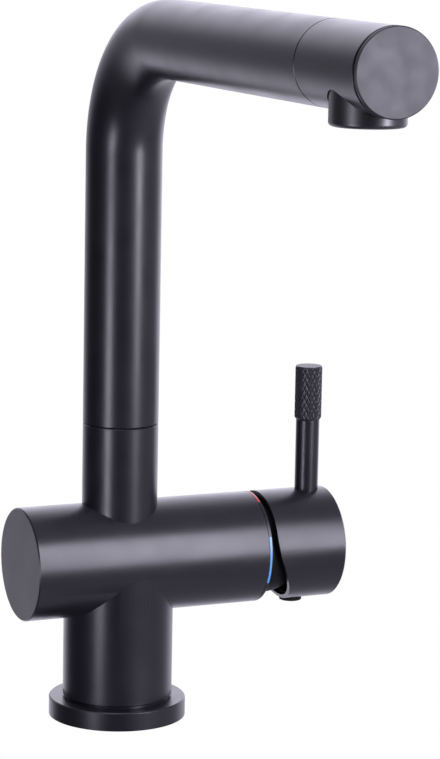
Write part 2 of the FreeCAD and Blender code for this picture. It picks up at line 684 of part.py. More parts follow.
base_blank = disc("base_blank", "base_radius", "housing_start", "base_top")
base_cuts = water_holes("base_way", BASE_HOLES, "port_radius", "housing_start", "base_thickness")
base_cuts += water_holes("base_slot", BASE_HOLES, "seal_slot", "pocket_floor", "port_seal")
base_cuts += water_holes("channel_end", DISC_HOLES, "inlet_radius", "base_top - channel_depth",
                         "channel_depth")
base_cuts += [channel_run(which) for which in BASE_HOLES]
cartridge_base = cut("cartridge_base", base_blank, base_cuts)
seal_rounds = water_holes("seal_round", BASE_HOLES, "seal_slot", "pocket_floor", "port_seal")
seal_holes = water_holes("seal_hole", BASE_HOLES, "port_radius", "pocket_floor", "port_seal")
cartridge_base_seals = group("cartridge_base_seals", [
    cut("port_seal_%s" % which, solid, [hole])
    for which, solid, hole in zip(BASE_HOLES, seal_rounds, seal_holes)
])
fixed_blank = disc("fixed_blank", "base_radius", "base_top", "fixed_top")
fixed_ceramic_disc = cut("fixed_ceramic_disc", fixed_blank,
                         water_holes("disc_way", DISC_HOLES, "inlet_radius", "base_top", "fixed_disc"))
cartridge_housing = turned("cartridge_housing", "X", [
    ("housing_start", "housing_bore"),
    ("housing_start", "cartridge_radius"),
    ("shoulder_out", "cartridge_radius"),
    ("shoulder_out", "neck_outer"),
    ("neck_end", "neck_outer"),
    ("neck_end", "rotor_bore"),
    ("shoulder_in", "rotor_bore"),
    ("shoulder_in", "housing_bore"),
], ON_BARREL)
cartridge_nut = turned("cartridge_nut", "X", [
    ("nut_start", "skirt_bore"),
    ("nut_start", "thread_bore"),
    ("nut_end", "thread_bore"),
    ("nut_end", "neck_clear"),
    ("shoulder_out", "neck_clear"),
    ("shoulder_out", "skirt_bore"),
], ON_BARREL)
dome_cover = turned("dome_cover", "X", [
    ("nut_end", "neck_clear"),
    ("nut_end", "dome_back_radius", "dome_radius", -1),
    ("dome_end", "dome_front_radius"),
    ("dome_end", "dome_hole"),
    ("dome_lid", "dome_hole"),
    ("dome_lid", "dome_lid_radius", "dome_inner", 1),
    ("dome_foot", "dome_foot_radius"),
    ("dome_foot", "neck_clear"),
], ON_BARREL)

# Turning half of the cartridge: the rotor, with a slot and a pin that the stem tilts on.
rotor_blank = turned("rotor_blank", "X", [
    ("rotor_start", "0"),
    ("rotor_start", "housing_bore - running_fit"),
    ("rotor_neck", "housing_bore - running_fit"),
    ("rotor_neck", "rotor_radius"),
    ("rotor_end", "rotor_radius"),
    ("rotor_end", "0"),
], ON_BARREL)
rotor_slot = box("rotor_slot", ("rotor_end - rotor_start", "stem_width + 2 * running_fit", "2 * slot_half"),
                 ("rotor_start", "-stem_half - running_fit", "axis_height - slot_half"))
PIN_START = ("pivot_reach", "rotor_radius - edge_break", "axis_height")
PIN_LENGTH = "2 * (rotor_radius - edge_break)"
cartridge_rotor = cut("cartridge_rotor", rotor_blank, [
    rotor_slot, cylinder("pin_hole", "pin_radius", PIN_LENGTH, PIN_START, "-Y")])
rotor_pin = cylinder("rotor_pin", "pin_radius", PIN_LENGTH, PIN_START, "-Y")

# Sliding half: the upper ceramic disc and the carrier that the stem's tail moves.
moving_blank = disc("moving_blank", "moving_radius", "moving_start", "moving_top")
mixing_pocket = cylinder("mixing_pocket", "mixing_radius", "mixing_depth",
                         ("moving_start", "0", "axis_height"), "X")
moving_ceramic_disc = cut("moving_ceramic_disc", moving_blank, [mixing_pocket])
disc_carrier = ring("disc_carrier", "X", "ball_radius + 2 * running_fit", "moving_radius - 2 * running_fit",
                    "moving_top", "carrier_top", ON_BARREL)

# Handle: a square stem in the boss of a round cap, with the lever's rod screwed in from above.
stem_bar = box("stem_bar", ("stem_end - pivot_reach + stem_half", "stem_width", "stem_width"),
               ("pivot_reach - stem_half", "-stem_half", "axis_height - stem_half"))
stem_rod = cylinder("stem_rod", "tail_radius", "stem_tail", ("ball_place", "0", "axis_height"), "X")
stem_ball = doc.addObject("Part::Sphere", "stem_ball")
bind(stem_ball, "Radius", "ball_radius")
place(stem_ball, ("ball_place", "0", "axis_height"))
stem_hole = cylinder("stem_hole", "pin_radius + fixed_fit", "2 * stem_width",
                     ("pivot_reach", "stem_width", "axis_height"), "-Y")
cartridge_stem = cut("cartridge_stem", join("stem_blank", [stem_bar, stem_rod, stem_ball]), [stem_hole])

cap_shell = turned("cap_shell", "X", [
    ("boss_start", "0"),
    ("boss_start", "boss_radius"),
    ("cap_inside", "boss_radius"),
    ("cap_inside", "cap_bore"),
    ("cap_start", "cap_bore"),
    ("cap_start", "barrel_radius"),
    ("cap_end - edge_break", "barrel_radius"),
    ("cap_end", "barrel_radius - edge_break"),
    ("cap_end", "0"),
], ON_BARREL)
# The rim steps back towards its underside, over a slope eased by two arcs, so the lever can tilt outwards.
rim = sketch_on(cap_shell, "XZ_Plane", "rim_slope", [
    ("barrel_right", "2 * barrel_radius"),
    ("cap_start", "2 * barrel_radius"),
    ("cap_start", "rim_high + slope_ease", "rim_round", 1),
    ("cap_start + ease_across", "rim_high - ease_up"),
    ("cap_low - ease_across", "ease_up - rim_low", "rim_round", -1),
    ("cap_low", "-rim_low - slope_ease"),
    ("cap_low", "-2 * barrel_radius"),
    ("barrel_right", "-2 * barrel_radius"),
])
rim_cut = cap_shell.newObject("PartDesign::Pocket", "rim_cut")
rim_cut.Profile = rim
rim_cut.Type = "ThroughAll"
rim_cut.Midplane = True
cap_shell.Tip = rim_cut
rod_socket = cylinder("rod_socket", "rod_boss", "cap_bore - boss_radius + cap_wall / 2 + fine_break",
                      ("rod_reach", "0", "axis_height + boss_radius - cap_wall / 2"))
handle_cap = cut("handle_cap", join("cap_blank", [cap_shell, rod_socket]), [
    box("stem_socket", ("stem_end + free_gap - boss_start", "2 * socket_half", "2 * socket_half"),
        ("boss_start", "-socket_half", "axis_height - socket_half")),
    cylinder("rod_hole", "rod_radius + fixed_fit", "barrel_radius", ("rod_reach", "0", "rod_shoulder")),
    cylinder("rod_tapping", "grip_bore", "rod_shoulder - rod_low", ("rod_reach", "0", "rod_low")),
    cylinder("screw_hole", "screw_radius", "boss_radius",
             ("screw_reach", "0", "axis_height - boss_radius")),
    cylinder("plug_hole", "plug_radius + fixed_fit", "2 * cap_wall",
             ("screw_reach", "0", "cap_underside - cap_wall / 2")),
])
lever_rod = turned("lever_rod", "Z", [
    ("0", "rod_low"),
    ("rod_thread", "rod_low"),
    ("rod_thread", "rod_shoulder"),
    ("rod_radius", "rod_shoulder"),
    ("rod_radius", "grip_start"),
    ("rod_thread", "grip_start"),
    ("rod_thread", "grip_inside"),
    ("0", "grip_inside"),
], AT_ROD)
knurled_grip = turned("knurled_grip", "Z", [
    ("grip_bore", "grip_start"),
    ("grip_radius - grip_break", "grip_start"),
    ("grip_radius", "grip_start + grip_break"),
    ("grip_radius", "grip_top - fine_break"),
    ("grip_radius - fine_break", "grip_top"),
    ("0", "grip_top"),
    ("0", "grip_inside"),
    ("grip_bore", "grip_inside"),
], AT_ROD)


def hexagon(name, flats, height, at):
    prism = doc.addObject("Part::Prism", name)
    prism.Polygon = 6
    bind(prism, "Circumradius", "%s / 2 / cos(30)" % flats)
    bind(prism, "Height", height)
    place(prism, at)
    return prism


screw_blank = cylinder("screw_blank", "screw_radius", "screw_length", ("screw_reach", "0", "screw_low"))
handle_set_screw = cut("handle_set_screw", screw_blank, [
    hexagon("screw_drive", "screw_key", "screw_socket", ("screw_reach", "0", "screw_low"))])
screw_plug = turned("screw_plug", "Z", [
    ("0", "plug_low"),
    ("plug_radius - fine_break", "plug_low"),
    ("plug_radius", "plug_low + fine_break"),
    ("plug_radius", "plug_low + plug_length"),
    ("0", "plug_low + plug_length"),
], AT_SCREW)

# Swivel: a stub saddled on the barrel, a spigot through it, and the guide ring that the spout turns on.
stub_blank = turned("stub_blank", "Z", [
    ("sleeve_bore", "stub_low"),
    ("tube_radius", "stub_low"),
    ("tube_radius", "swivel_height - seam_break"),
    ("tube_radius - seam_break", "swivel_height"),
    ("tube_bore", "swivel_height"),
    ("tube_bore", "flange_low"),
    ("sleeve_bore", "flange_low"),
])
saddle = cylinder("saddle", "barrel_radius", "4 * tube_radius",
                  ("-2 * tube_radius", "0", "axis_height"), "X")
spout_stub = cut("spout_stub", stub_blank, [saddle])
swivel_spigot = turned("swivel_spigot", "Z", [
    ("spigot_bore", "spigot_low"),
    ("spigot_radius - fixed_fit", "spigot_low"),
    ("spigot_radius - fixed_fit", "flange_low"),
    ("flange_radius", "flange_low"),
    ("flange_radius", "flange_top"),
    ("spigot_radius", "flange_top"),
    ("spigot_radius", "lower_seal"),
    ("sunk_radius", "lower_seal"),
    ("sunk_radius", "lower_seal_end"),
    ("spigot_radius", "lower_seal_end"),
    ("spigot_radius", "upper_seal"),
    ("sunk_radius", "upper_seal"),
    ("sunk_radius", "upper_seal_end"),
    ("spigot_radius", "upper_seal_end"),
    ("spigot_radius", "keep_low"),
    ("sunk_radius", "keep_low"),
    ("sunk_radius", "keep_high"),
    ("spigot_radius", "keep_high"),
    ("spigot_radius", "spigot_end"),
    ("spigot_bore", "spigot_end"),
])
spigot_seals = group("spigot_seals", [
    ring("lower_ring", "Z", "sunk_radius", "bush_bore - fixed_fit", "lower_seal", "lower_seal_end"),
    ring("upper_ring", "Z", "sunk_radius", "bush_bore - fixed_fit", "upper_seal", "upper_seal_end"),
])
swivel_guide_ring = ring("swivel_guide_ring", "Z", "bush_bore", "flange_radius",
                         "flange_top", "spout_start")

# Spout: one bent tube, a bush in its foot, and the liner that the head docks in.
KEEP_START = ("0", "tube_radius + tube_wall", "keep_height")


def keep_hole(name):
    return cylinder(name, "keep_screw + fixed_fit", "tube_radius", KEEP_START, "-Y")


swan = bent_tube("swan", "tube_radius", "tube_bore", "spout_start", "mouth_reach")
break_rims(swan, "seam_break", [("0", "0", "spout_start"), ("0", "-mouth_reach", "arm_height")])
spout_tube = cut("spout_tube", swan, [keep_hole("tube_tapping")])
bush_blank = ring("bush_blank", "Z", "bush_bore", "tube_bore - fixed_fit",
                  "bush_start", "bush_start + bush_length")
spout_foot_bush = cut("spout_foot_bush", bush_blank, [keep_hole("bush_tapping")])
spout_grub_screw = cylinder("spout_grub_screw", "keep_screw", "keep_length",
                            ("0", "tube_radius - free_gap", "keep_height"), "-Y")
arm_liner = ring("arm_liner", "Y", "liner_bore", "tube_bore - fixed_fit",
                 "free_gap - mouth_reach", "liner_length - mouth_reach", ON_ARM)
hose_rear_run = bent_tube("hose_rear_run", "hose_radius", "hose_bore", "foot_recess", "hose_split")

# Pull-out head: the shell and its end disc, the core with its docking collar, the hose and the nozzle.
shell_blank = turned("shell_blank", "Y", [
    ("-shell_start", "tube_bore"),
    ("-shell_start", "tube_radius - seam_break"),
    ("-shell_start - seam_break", "tube_radius"),
    ("seam_break - shell_end", "tube_radius"),
    ("-shell_end", "tube_radius - seam_break"),
    ("-shell_end", "tube_bore"),
], ON_ARM)
head_shell = cut("head_shell", shell_blank, [
    cylinder("nozzle_opening", "nozzle_radius + nozzle_clearance", "2 * tube_radius",
             ("0", "-nozzle_reach", "arm_height - 2 * tube_radius"))])
head_end_cap = turned("head_end_cap", "Y", [
    ("-plug_inside", "0"),
    ("-plug_inside", "tube_bore - fixed_fit"),
    ("-shell_end", "tube_bore - fixed_fit"),
    ("-shell_end", "neck_of_disc"),
    ("-disc_start", "neck_of_disc"),
    ("-disc_start", "tube_radius - seam_break"),
    ("-disc_start - seam_break", "tube_radius"),
    ("edge_break - disc_end", "tube_radius"),
    ("-disc_end", "tube_radius - edge_break"),
    ("-disc_end", "0"),
], ON_ARM)
core_blank = turned("core_blank", "Y", [
    ("-core_start", "0"),
    ("-core_start", "tube_bore - fixed_fit"),
    ("-core_end", "tube_bore - fixed_fit"),
    ("-core_end", "0"),
], ON_ARM)
head_core = cut("head_core", core_blank, [
    cylinder("nozzle_socket", "nozzle_radius + fixed_fit", "tube_radius",
             ("0", "-nozzle_reach", "nozzle_top - tube_radius")),
    cylinder("core_inlet", "core_way", "nozzle_reach - core_start",
             ("0", "-core_start", "arm_height"), "-Y"),
    cylinder("core_drop", "core_way", "2 * nozzle_seat",
             ("0", "-nozzle_reach", "arm_height - 2 * nozzle_seat")),
])
docking_collar = turned("docking_collar", "Y", [
    ("-core_start", "collar_bore"),
    ("-core_start", "collar_outer"),
    ("-groove_start", "collar_outer"),
    ("-groove_start", "groove_radius"),
    ("-groove_end", "groove_radius"),
    ("-groove_end", "collar_outer"),
    ("-collar_start", "collar_outer"),
    ("-collar_start", "collar_bore"),
], ON_ARM)
collar_o_ring = ring("collar_o_ring", "Y", "groove_radius", "liner_bore - fixed_fit",
                     "-groove_start", "-groove_end", ON_ARM)
hose_coupling = turned("hose_coupling", "Y", [
    ("-core_start", "hose_bore"),
    ("-core_start", "collar_bore - fixed_fit"),
    ("coupling_length - core_start", "collar_bore - fixed_fit"),
    ("coupling_length - core_start", "grip_of_hose"),
    ("-hose_end", "grip_of_hose"),
    ("-hose_end", "hose_bore"),
], ON_ARM)
hose_front_run = ring("hose_front_run", "Y", "hose_bore", "hose_radius", "-hose_end", "-hose_start", ON_ARM)
check_valve = ring("check_valve", "Y", "valve_bore", "core_way - fixed_fit",
                   "-valve_start", "-valve_end", ON_ARM)
nozzle = turned("nozzle", "Z", [
    ("aerator_radius", "nozzle_height"),
    ("nozzle_radius - nozzle_round", "nozzle_height", "nozzle_round", 1),
    ("nozzle_radius", "nozzle_height + nozzle_round"),
    ("nozzle_radius", "nozzle_top"),
    ("core_way", "nozzle_top"),
    ("core_way", "washer_top"),
    ("aerator_radius", "washer_top"),
], AT_NOZZLE)
aerator_insert = ring("aerator_insert", "Z", "insert_bore", "mesh_radius",
                      "insert_bottom", "insert_top", AT_NOZZLE)
aerator_seal = ring("aerator_seal", "Z", "core_way", "mesh_radius", "insert_top", "washer_top", AT_NOZZLE)
mesh_blank = cylinder("mesh_blank", "mesh_radius", "mesh_thickness", ("0", "-nozzle_reach", "mesh_bottom"))
RINGS_OF_HOLES = 2


def mesh_holes():
    """Holes on a triangular grid, in rings of six, twelve and so on round the middle one."""
    holes = []
    for row in range(-RINGS_OF_HOLES, RINGS_OF_HOLES + 1):
        for step in range(-RINGS_OF_HOLES, RINGS_OF_HOLES + 1):
            if abs(row + step) <= RINGS_OF_HOLES:
                along = "%s * mesh_pitch" % (step + row / 2)
                across = "%d * mesh_pitch * sin(60) - nozzle_reach" % row
                holes.append(cylinder("mesh_hole_%d" % len(holes), "mesh_hole", "mesh_thickness",
                                      (along, across, "mesh_bottom")))
    return holes


aerator_mesh = cut("aerator_mesh", mesh_blank, mesh_holes())

# Under the worktop: a stud, a horseshoe of rubber and one of steel, and a nut.
fixing_stud = turned("fixing_stud", "Z", [
    ("0", "-stud_drop"),
    ("stud_radius - edge_break", "-stud_drop"),
    ("stud_radius", "edge_break - stud_drop"),
    ("stud_radius", "stud_top"),
    ("0", "stud_top"),
], AT_STUD)


def horseshoe(label, low, thickness):
    plate = cylinder(label + "_blank", "clamp_radius", thickness, ("0", "0", low))
    slot = box(label + "_slot", ("2 * clamp_radius", "2 * clamp_slot", thickness),
               ("-clamp_back", "-clamp_slot", low))
    hole = cylinder(label + "_hole", "stud_radius + running_fit", thickness, ("-port_circle", "0", low))
    return cut(label, plate, [slot, hole])


horseshoe_rubber = horseshoe("horseshoe_rubber", "rubber_low", "clamp_rubber")
horseshoe_plate = horseshoe("horseshoe_plate", "plate_low", "clamp_plate")
nut_blank = hexagon("nut_blank", "nut_flats", "nut_height", ("-port_circle", "0", "nut_low"))
fixing_nut = cut("fixing_nut", nut_blank, [
    cylinder("nut_tapping", "stud_hole", "nut_height", ("-port_circle", "0", "nut_low"))])

NODES = [
    base_seal, base_ring, mixer_body, hose_grommet, index_ring, hot_mark, cold_mark,
    cartridge_base, cartridge_base_seals, fixed_ceramic_disc, cartridge_housing, cartridge_nut, dome_cover,
    cartridge_rotor, rotor_pin, moving_ceramic_disc, disc_carrier,
    cartridge_stem, handle_cap, handle_set_screw, screw_plug, lever_rod, knurled_grip,
    spout_stub, swivel_spigot, spigot_seals, swivel_guide_ring,
    spout_tube, spout_foot_bush, spout_grub_screw, arm_liner, hose_rear_run,
    head_shell, head_end_cap, head_core, docking_collar, collar_o_ring, hose_coupling, hose_front_run,
    check_valve, nozzle, aerator_insert, aerator_mesh, aerator_seal,
    fixing_stud, horseshoe_rubber, horseshoe_plate, fixing_nut,
]

doc.recompute()
for item in doc.Objects:
    if "Invalid" in item.State or "Error" in item.State:
        raise RuntimeError("%s failed to build" % item.Label)
for node in NODES:
    if node.Shape.isNull() or not node.Shape.isValid():
        raise RuntimeError("%s has no valid shape" % node.Label)
os.makedirs("parts", exist_ok=True)
for node in NODES:
    node.Shape.exportStep("parts/%s.step" % node.Label)
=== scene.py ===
import json
import math

import bpy
from mathutils import Matrix, Vector


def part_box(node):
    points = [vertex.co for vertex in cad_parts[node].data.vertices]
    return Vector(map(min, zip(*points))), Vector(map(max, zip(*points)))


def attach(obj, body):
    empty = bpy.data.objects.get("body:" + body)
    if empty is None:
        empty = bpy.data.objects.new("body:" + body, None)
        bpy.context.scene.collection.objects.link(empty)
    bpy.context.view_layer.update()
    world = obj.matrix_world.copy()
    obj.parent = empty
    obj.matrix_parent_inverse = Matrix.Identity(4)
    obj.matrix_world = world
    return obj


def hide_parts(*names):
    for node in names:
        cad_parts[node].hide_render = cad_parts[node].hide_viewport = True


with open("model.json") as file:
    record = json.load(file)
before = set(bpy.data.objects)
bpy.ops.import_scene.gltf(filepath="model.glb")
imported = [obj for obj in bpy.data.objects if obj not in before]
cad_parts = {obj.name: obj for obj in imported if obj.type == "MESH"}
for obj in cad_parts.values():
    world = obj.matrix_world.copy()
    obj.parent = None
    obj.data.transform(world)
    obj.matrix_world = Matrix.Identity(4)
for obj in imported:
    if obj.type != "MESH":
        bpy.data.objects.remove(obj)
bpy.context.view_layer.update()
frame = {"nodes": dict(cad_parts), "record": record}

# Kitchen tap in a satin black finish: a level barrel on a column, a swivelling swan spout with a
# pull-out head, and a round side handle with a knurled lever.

MM = 0.001

# Places read from the frame.
tube_low, tube_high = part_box("spout_tube")
body_low, body_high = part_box("mixer_body")
ring_low, ring_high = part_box("base_ring")
seal_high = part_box("base_seal")[1]
index_low, index_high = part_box("index_ring")
dome_low, dome_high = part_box("dome_cover")
cap_low, cap_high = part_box("handle_cap")
plug_low, plug_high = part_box("screw_plug")
rod_low, rod_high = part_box("lever_rod")
grip_low, grip_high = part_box("knurled_grip")
stub_low, stub_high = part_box("spout_stub")
shell_low, shell_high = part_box("head_shell")
disc_low, disc_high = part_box("head_end_cap")
nozzle_low, nozzle_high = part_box("nozzle")

TUBE_RADIUS = tube_high.x
ARM_HEIGHT = tube_high.z - TUBE_RADIUS
BARREL_RADIUS = index_high.y
AXIS_HEIGHT = (index_low.z + index_high.z) / 2
ON_BARREL = (0, 0, AXIS_HEIGHT)
ON_ARM = (0, 0, ARM_HEIGHT)
ROD_X = (rod_low.x + rod_high.x) / 2
PLUG_X = (plug_low.x + plug_high.x) / 2
NOZZLE_Y = (nozzle_low.y + nozzle_high.y) / 2

# Sizes shared by several pieces, which their boxes don't give.
TUBE_WALL = 1.5 * MM
TUBE_BORE = TUBE_RADIUS - TUBE_WALL
BEND_RADIUS = 50 * MM
DOME_SPHERE = 20.8 * MM
ROD_SHOULDER = AXIS_HEIGHT + 14 * MM
SEAM_BREAK = 0.25 * MM
EDGE_BREAK = 0.5 * MM

# How finely pieces are turned and smoothed, and how far a cutter reaches past what it cuts.
SIDES, SMALL_SIDES, PORT_SIDES = 128, 64, 48
SMOOTH_ANGLE, BEVEL_ANGLE, KNURL_ANGLE = 30, 35, 20
WELD = 0.001 * MM
CUT_REACH = 30 * MM

# The turn that lays a piece made upright along an axis.
TURN_TO = {"Z": (0, 0, 0), "X": (0, math.pi / 2, 0), "Y": (-math.pi / 2, 0, 0)}


def choose(piece):
    """Select one object alone and make it active."""
    bpy.ops.object.select_all(action="DESELECT")
    piece.select_set(True)
    bpy.context.view_layer.objects.active = piece


def in_edit(piece):
    """Open one object in edit mode with everything selected."""
    choose(piece)
    bpy.ops.object.mode_set(mode="EDIT")
    bpy.ops.mesh.select_all(action="SELECT")


def out_of_edit():
    bpy.ops.object.mode_set(mode="OBJECT")


def pick(piece, kind, wanted):
    """Select the vertices, edges or faces that the test wants, and nothing else, in edit mode."""
    out_of_edit()
    parts = {"VERT": piece.data.vertices, "EDGE": piece.data.edges, "FACE": piece.data.polygons}
    for items in parts.values():
        items.foreach_set("select", [False] * len(items))
    for item in parts[kind]:
        item.select = wanted(item)
    bpy.context.tool_settings.mesh_select_mode = [kind == each for each in parts]
    bpy.ops.object.mode_set(mode="EDIT")


def ends(piece, edge):
    """The places of an edge's two vertices."""
    return [piece.data.vertices[v].co for v in edge.vertices]


def settle(piece):
    """Put the piece's place into its mesh, with its faces outwards."""
    choose(piece)
    bpy.ops.object.transform_apply(location=True, rotation=True, scale=True)
    in_edit(piece)
    bpy.ops.mesh.remove_doubles(threshold=WELD)
    bpy.ops.mesh.normals_make_consistent(inside=False)
    out_of_edit()


def extrude(way):
    """Draw the selected edges out along a vector, in edit mode."""
    bpy.ops.mesh.extrude_edges_move(TRANSFORM_OT_translate={"value": way})


def turned(name, rings, axis="Z", centre=(0, 0, 0), sides=SIDES):
    """Turn a piece from a circle that is extruded and scaled through (radius, place) rings.

    Rings that end where they start make a hollow ring. All others are closed by flat ends.
    """
    bpy.ops.object.select_all(action="DESELECT")
    bpy.ops.mesh.primitive_circle_add(vertices=sides, radius=rings[0][0])
    piece = bpy.context.object
    piece.name = name
    hollow = rings[0] == rings[-1]
    in_edit(piece)
    bpy.ops.transform.translate(value=(0, 0, rings[0][1]))
    if not hollow:
        bpy.ops.mesh.edge_face_add()
        bpy.ops.mesh.select_all(action="DESELECT")
        bpy.ops.mesh.select_mode(type="EDGE")
        bpy.ops.mesh.select_all(action="SELECT")
    for (radius, place), (next_radius, next_place) in zip(rings, rings[1:]):
        extrude((0, 0, next_place - place))
        scale = next_radius / radius
        bpy.ops.transform.resize(value=(scale, scale, 1), center_override=(0, 0, next_place))
    if not hollow:
        bpy.ops.mesh.edge_face_add()
    out_of_edit()
    piece.rotation_euler = TURN_TO[axis]
    piece.location = centre
    settle(piece)
    return piece


def block(name, low, high):
    """A box between two opposite corners."""
    bpy.ops.object.select_all(action="DESELECT")
    middle = (Vector(low) + Vector(high)) / 2
    bpy.ops.mesh.primitive_cube_add(size=1, location=middle, scale=Vector(high) - Vector(low))
    piece = bpy.context.object
    piece.name = name
    settle(piece)
    return piece


def cut_away(piece, cutter, operation="DIFFERENCE"):
    """Apply a boolean with the cutter and delete the cutter."""
    choose(piece)
    modifier = piece.modifiers.new("cut", "BOOLEAN")
    modifier.operation = operation
    modifier.solver = "EXACT"
    modifier.object = cutter
    bpy.ops.object.modifier_apply(modifier=modifier.name)
    bpy.data.objects.remove(cutter)


def soften(piece, width=0, segments=3, angle=SMOOTH_ANGLE):
    """Round the sharp edges by a width, if given, and weight the normals, so flats stay flat."""
    choose(piece)
    bpy.ops.object.shade_smooth()
    if width:
        bevel = piece.modifiers.new("edges", "BEVEL")
        bevel.width = width
        bevel.segments = segments
        bevel.limit_method = "ANGLE"
        bevel.angle_limit = math.radians(angle)
        bpy.ops.object.modifier_apply(modifier=bevel.name)
    bpy.ops.object.shade_smooth_by_angle(angle=math.radians(angle))
    weight = piece.modifiers.new("normals", "WEIGHTED_NORMAL")
    weight.keep_sharp = True
    bpy.ops.object.modifier_apply(modifier=weight.name)
    return piece


# Most of a noise texture lies between these two values.
NOISE_LOW, NOISE_HIGH = 0.3, 0.7
NOISE_DETAIL = 3.0


def noise(tree, place, scale):
    """The value of a noise pattern on the object's own coordinates."""
    texture = tree.nodes.new("ShaderNodeTexNoise")
    texture.inputs["Scale"].default_value = scale
    texture.inputs["Detail"].default_value = NOISE_DETAIL
    tree.links.new(place, texture.inputs["Vector"])
    return texture.outputs["Fac"]


def fitted(tree, value, start, end, low=0, high=1, smooth=False):
    """Map a value's start to end onto low to high."""
    fit = tree.nodes.new("ShaderNodeMapRange")
    if smooth:
        fit.interpolation_type = "SMOOTHSTEP"
    for name, number in zip(("From Min", "From Max", "To Min", "To Max"), (start, end, low, high)):
        fit.inputs[name].default_value = number
    tree.links.new(value, fit.inputs["Value"])
    return fit.outputs["Result"]


def tint(tree, value, dark, light):
    """Colour a noise pattern from dark to light."""
    ramp = tree.nodes.new("ShaderNodeValToRGB")
    for stop, place, colour in zip(
            ramp.color_ramp.elements, (NOISE_LOW, NOISE_HIGH), (dark, light)):
        stop.position = place
        stop.color = (*colour, 1)
    tree.links.new(value, ramp.inputs["Fac"])
    return ramp.outputs["Color"]


def bump(tree, value, depth):
    """Raise a pattern on the surface."""
    relief = tree.nodes.new("ShaderNodeBump")
    relief.inputs["Distance"].default_value = depth
    tree.links.new(value, relief.inputs["Height"])
    return relief.outputs["Normal"]


def finish_of(name, dark, light, rough, grain=1800, patch=70, relief=0.01, metal=0.0, gloss=0.5):
    """A finish with a fine grain, and soft patches in its colour and roughness.

    Grain and patch are the noise scales of the two, and relief is the grain's depth in millimetres.
    """
    material = bpy.data.materials.new(name)
    material.use_nodes = True
    tree = material.node_tree
    shader = tree.nodes["Principled BSDF"]
    place = tree.nodes.new("ShaderNodeTexCoord").outputs["Object"]
    patches = noise(tree, place, patch)
    fine = noise(tree, place, grain)
    for socket, source in (
        ("Base Color", tint(tree, patches, dark, light)),
        ("Roughness", fitted(tree, patches, NOISE_LOW, NOISE_HIGH, *rough)),
        ("Normal", bump(tree, fine, relief * MM)),
    ):
        tree.links.new(source, shader.inputs[socket])
    shader.inputs["Metallic"].default_value = metal
    shader.inputs["Specular IOR Level"].default_value = gloss
    return material


def paint_shade_behind_face(material, face, rim):
    """Keep the finish on the flat face at this Y, and paint what lies behind it near black: the
    rim's coating is darker than the matte face, and the rest of its darkness is painted shade for
    the dark that the rim reflects.
    """
    tree = material.node_tree
    near, far = face + 0.2 * MM, face + 0.5 * MM
    colour = tree.nodes["Principled BSDF"].inputs["Base Color"]
    place = tree.nodes.new("ShaderNodeTexCoord").outputs["Object"]
    split = tree.nodes.new("ShaderNodeSeparateXYZ")
    mix = tree.nodes.new("ShaderNodeMixRGB")
    mix.inputs["Color2"].default_value = (*rim, 1)
    tree.links.new(place, split.inputs["Vector"])
    tree.links.new(fitted(tree, split.outputs["Y"], near, far), mix.inputs["Fac"])
    tree.links.new(colour.links[0].from_socket, mix.inputs["Color1"])
    tree.links.new(mix.outputs["Color"], colour)


# Dark and light colour, range of roughness, and what differs from the usual, for each slot.
OF_SLOT = {
    "black_coating": finish_of(
        "satin_black", (0.0085, 0.0080, 0.0115), (0.0105, 0.0100, 0.0140), (0.30, 0.35)),
    "black_face": finish_of(
        "face_black", (0.026, 0.026, 0.029), (0.036, 0.036, 0.040), (0.40, 0.52), patch=140),
    "black_gloss": finish_of(
        "gloss_black", (0.009, 0.009, 0.0105), (0.011, 0.011, 0.013), (0.34, 0.40),
        relief=0.004, gloss=0.9),
    "black_plastic": finish_of(
        "dull_black_plastic", (0.004, 0.004, 0.005), (0.006, 0.006, 0.007), (0.55, 0.65),
        gloss=0.2),
    "seal_rubber": finish_of(
        "seal_rubber", (0.012, 0.012, 0.012), (0.018, 0.018, 0.018), (0.65, 0.80), grain=900),
    "hot_red": finish_of(
        "hot_red", (0.52, 0.035, 0.030), (0.60, 0.045, 0.040), (0.30, 0.36), relief=0.003),
    "cold_blue": finish_of(
        "cold_blue", (0.09, 0.34, 0.68), (0.12, 0.41, 0.78), (0.30, 0.36), relief=0.003),
    "white_plastic": finish_of(
        "white_plastic", (0.70, 0.70, 0.67), (0.78, 0.78, 0.75), (0.40, 0.50)),
    "ceramic": finish_of(
        "ceramic", (0.80, 0.79, 0.75), (0.86, 0.85, 0.81), (0.12, 0.18), relief=0.002),
    "hose_cover": finish_of(
        "hose_cover", (0.20, 0.20, 0.22), (0.28, 0.28, 0.30), (0.45, 0.60),
        grain=600, relief=0.05),
    "plain_brass": finish_of(
        "turned_brass", (0.62, 0.45, 0.20), (0.70, 0.52, 0.25), (0.22, 0.32),
        metal=1.0, relief=0.004),
    "plain_steel": finish_of(
        "zinc_steel", (0.50, 0.50, 0.51), (0.60, 0.60, 0.61), (0.28, 0.38),
        metal=1.0, relief=0.006),
}
# The grip's copy of the satin black: rougher for the knurl, and lighter in colour as painted light
# that lifts the grooves' shade.
KNURL_BLACK_PAINTED_LIGHT = finish_of(
    "black_knurl_painted_light", (0.016, 0.0155, 0.020), (0.020, 0.0195, 0.025), (0.42, 0.50))
# The end disc's rim is painted near black: partly its own darker coating, partly painted shade for
# the dark surroundings it reflects.
paint_shade_behind_face(OF_SLOT["black_face"], disc_low.y, (0.004, 0.004, 0.006))


def dress(piece, body, slot, *nodes):
    """Give a finished piece its body and its finish, and hide the nodes that it stands for."""
    piece.data.materials.clear()
    piece.data.materials.append(OF_SLOT[slot])
    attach(piece, body)
    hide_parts(*nodes)


# The nodes that stay as they come from the solid need only their finish.
for entry in frame["record"]["subparts"]:
    node = frame["nodes"].get(entry["node"])
    if node:
        node.data.materials.clear()
        node.data.materials.append(OF_SLOT[entry["material_slot"]])


